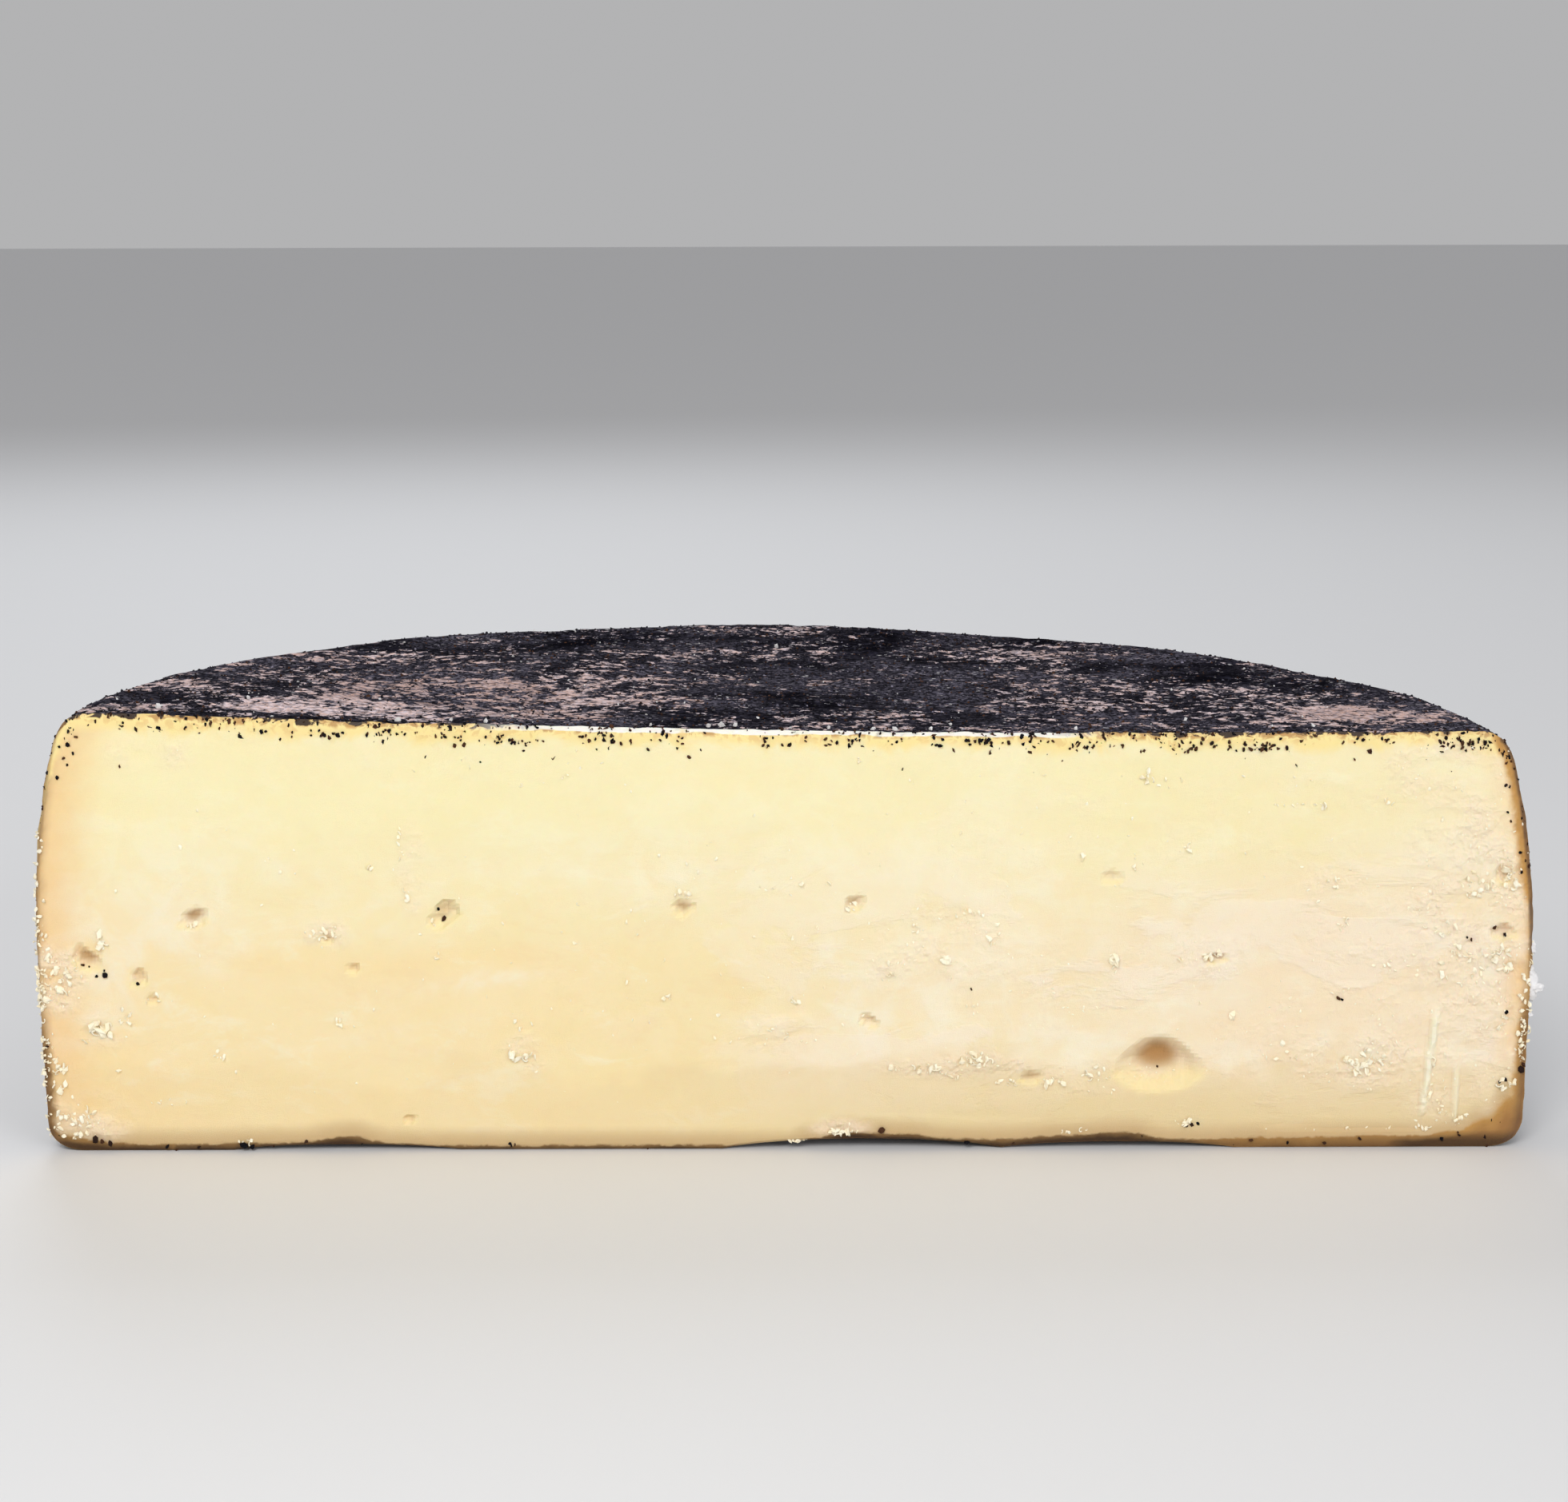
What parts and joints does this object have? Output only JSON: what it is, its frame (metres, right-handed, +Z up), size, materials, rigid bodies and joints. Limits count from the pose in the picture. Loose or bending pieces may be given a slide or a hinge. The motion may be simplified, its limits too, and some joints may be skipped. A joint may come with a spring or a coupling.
{
  "type": "half wheel of cheese",
  "caption": "Half of a round pressed cheese cut through the middle, with a dark coarse rub on its rind and a pale yellow cut face with small eyes.",
  "frame": {"origin": "middle of the bounding box's footprint, on the flat base that the half wheel stands on", "axes": "+Z up, through the wheel's thickness; +X along the cut; the cut face looks along -Y and the round side is towards +Y"},
  "size_m": [0.34, 0.1688, 0.1022],
  "materials": {
    "cheese_paste": "soft satin, slightly translucent pale yellow paste, deeper yellow under the rind",
    "rind_rub": "matt, grainy near-black dry rub with pale specks and bare brown patches"
  },
  "bodies": {
    "root": {"cheese_half_wheel": "cheese_paste"}
  },
  "joints": []
}
